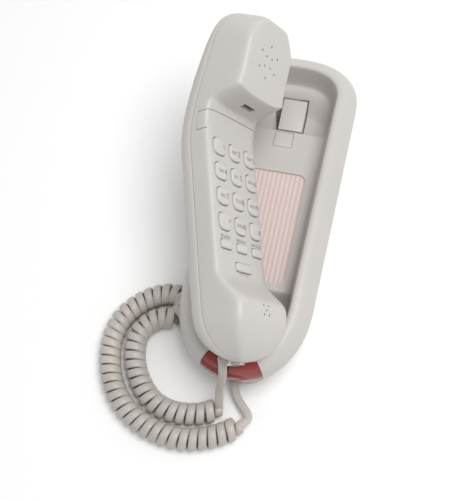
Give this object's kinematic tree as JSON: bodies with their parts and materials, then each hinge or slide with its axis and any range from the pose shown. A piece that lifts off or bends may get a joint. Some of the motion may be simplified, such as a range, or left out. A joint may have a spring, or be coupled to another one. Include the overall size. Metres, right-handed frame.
{
  "type": "slimline wall telephone",
  "caption": "Slimline telephone with a boat-shaped cradle base, keypad handset leaning out of it, red message lens and curly cord.",
  "frame": {"origin": "centre of the base's back face, midway between the two wall keyholes", "axes": "+Z out of the back face towards the user, +Y towards the ear end of the base, +X to the right"},
  "size_m": [0.1286, 0.2628, 0.1238],
  "materials": {
    "shell": "satin moulded ABS, fine texture",
    "keys": "satin moulded ABS",
    "lens": "polished translucent acrylic",
    "window": "clear polycarbonate",
    "card": "printed card",
    "cord": "satin PVC jacket",
    "plug": "clear polycarbonate",
    "rubber": "matt",
    "membrane": "silicone",
    "steel": "zinc plated",
    "black": "moulded",
    "board": "solder mask"
  },
  "bodies": {
    "base": {"base_housing": "shell", "base_plate": "shell", "rubber_feet": "rubber", "base_screws": "steel", "message_lens": "lens", "message_lamp": "lens", "base_circuit_board": "board", "ringer": "black", "line_jack": "black", "base_handset_jack": "black", "hook_bracket": "shell", "hook_pin": "steel", "hook_spring": "steel", "hook_switch": "black", "label_card": "card", "label_window": "window", "base_plug": "plug", "base_lead": "cord", "curly_cord": "cord"},
    "handset": {"handset_front_shell": "shell", "handset_back_shell": "shell", "name_plate": "shell", "key_membrane": "membrane", "handset_board": "board", "receiver_capsule": "black", "mic_capsule": "black", "handset_jack": "black", "handset_screws": "steel", "handset_plug": "plug", "handset_lead": "cord"},
    "hook_lever": {"hook_lever": "shell"},
    "hang_tab": {"hang_tab": "shell"},
    "key_1_cap": {"key_1": "keys"},
    "key_2_cap": {"key_2": "keys"},
    "key_3_cap": {"key_3": "keys"},
    "key_4_cap": {"key_4": "keys"},
    "key_5_cap": {"key_5": "keys"},
    "key_6_cap": {"key_6": "keys"},
    "key_7_cap": {"key_7": "keys"},
    "key_8_cap": {"key_8": "keys"},
    "key_9_cap": {"key_9": "keys"},
    "key_star_cap": {"key_star": "keys"},
    "key_0_cap": {"key_0": "keys"},
    "key_pound_cap": {"key_pound": "keys"},
    "key_flash_cap": {"key_flash": "keys"},
    "key_redial_cap": {"key_redial": "keys"},
    "key_volume_cap": {"key_volume": "keys"},
    "key_reset_cap": {"key_reset": "keys"}
  },
  "joints": [
    {"name": "handset_lift", "type": "slide", "parent": "base", "child": "handset", "axis": [0, 0, 1], "range_m": [0, 0.08]},
    {"name": "hook_press", "type": "hinge", "parent": "base", "child": "hook_lever", "pos_m": [0.0018, 0.068, 0.008], "axis": [1, 0, 0], "range_deg": [-5, 0], "stiffness_Nm_per_rad": 0.05},
    {"name": "hang_tab_lift", "type": "slide", "parent": "base", "child": "hang_tab", "axis": [0, 0, 1], "range_m": [0, 0.004]},
    {"name": "key_1_press", "type": "slide", "parent": "handset", "child": "key_1_cap", "axis": [-0.8438, -0.1617, -0.5118], "range_m": [0, 0.001], "stiffness_N_per_m": 300},
    {"name": "key_2_press", "type": "slide", "parent": "handset", "child": "key_2_cap", "axis": [-0.8438, -0.1617, -0.5118], "range_m": [0, 0.001], "stiffness_N_per_m": 300},
    {"name": "key_3_press", "type": "slide", "parent": "handset", "child": "key_3_cap", "axis": [-0.8438, -0.1617, -0.5118], "range_m": [0, 0.001], "stiffness_N_per_m": 300},
    {"name": "key_4_press", "type": "slide", "parent": "handset", "child": "key_4_cap", "axis": [-0.8438, -0.1617, -0.5118], "range_m": [0, 0.001], "stiffness_N_per_m": 300},
    {"name": "key_5_press", "type": "slide", "parent": "handset", "child": "key_5_cap", "axis": [-0.8438, -0.1617, -0.5118], "range_m": [0, 0.001], "stiffness_N_per_m": 300},
    {"name": "key_6_press", "type": "slide", "parent": "handset", "child": "key_6_cap", "axis": [-0.8438, -0.1617, -0.5118], "range_m": [0, 0.001], "stiffness_N_per_m": 300},
    {"name": "key_7_press", "type": "slide", "parent": "handset", "child": "key_7_cap", "axis": [-0.8438, -0.1617, -0.5118], "range_m": [0, 0.001], "stiffness_N_per_m": 300},
    {"name": "key_8_press", "type": "slide", "parent": "handset", "child": "key_8_cap", "axis": [-0.8438, -0.1617, -0.5118], "range_m": [0, 0.001], "stiffness_N_per_m": 300},
    {"name": "key_9_press", "type": "slide", "parent": "handset", "child": "key_9_cap", "axis": [-0.8438, -0.1617, -0.5118], "range_m": [0, 0.001], "stiffness_N_per_m": 300},
    {"name": "key_star_press", "type": "slide", "parent": "handset", "child": "key_star_cap", "axis": [-0.8438, -0.1617, -0.5118], "range_m": [0, 0.001], "stiffness_N_per_m": 300},
    {"name": "key_0_press", "type": "slide", "parent": "handset", "child": "key_0_cap", "axis": [-0.8438, -0.1617, -0.5118], "range_m": [0, 0.001], "stiffness_N_per_m": 300},
    {"name": "key_pound_press", "type": "slide", "parent": "handset", "child": "key_pound_cap", "axis": [-0.8438, -0.1617, -0.5118], "range_m": [0, 0.001], "stiffness_N_per_m": 300},
    {"name": "key_flash_press", "type": "slide", "parent": "handset", "child": "key_flash_cap", "axis": [-0.8438, -0.1617, -0.5118], "range_m": [0, 0.001], "stiffness_N_per_m": 300},
    {"name": "key_redial_press", "type": "slide", "parent": "handset", "child": "key_redial_cap", "axis": [-0.8438, -0.1617, -0.5118], "range_m": [0, 0.001], "stiffness_N_per_m": 300},
    {"name": "key_volume_press", "type": "slide", "parent": "handset", "child": "key_volume_cap", "axis": [-0.8438, -0.1617, -0.5118], "range_m": [0, 0.001], "stiffness_N_per_m": 300},
    {"name": "key_reset_press", "type": "slide", "parent": "handset", "child": "key_reset_cap", "axis": [-0.8438, -0.1617, -0.5118], "range_m": [0, 0.001], "stiffness_N_per_m": 300}
  ]
}
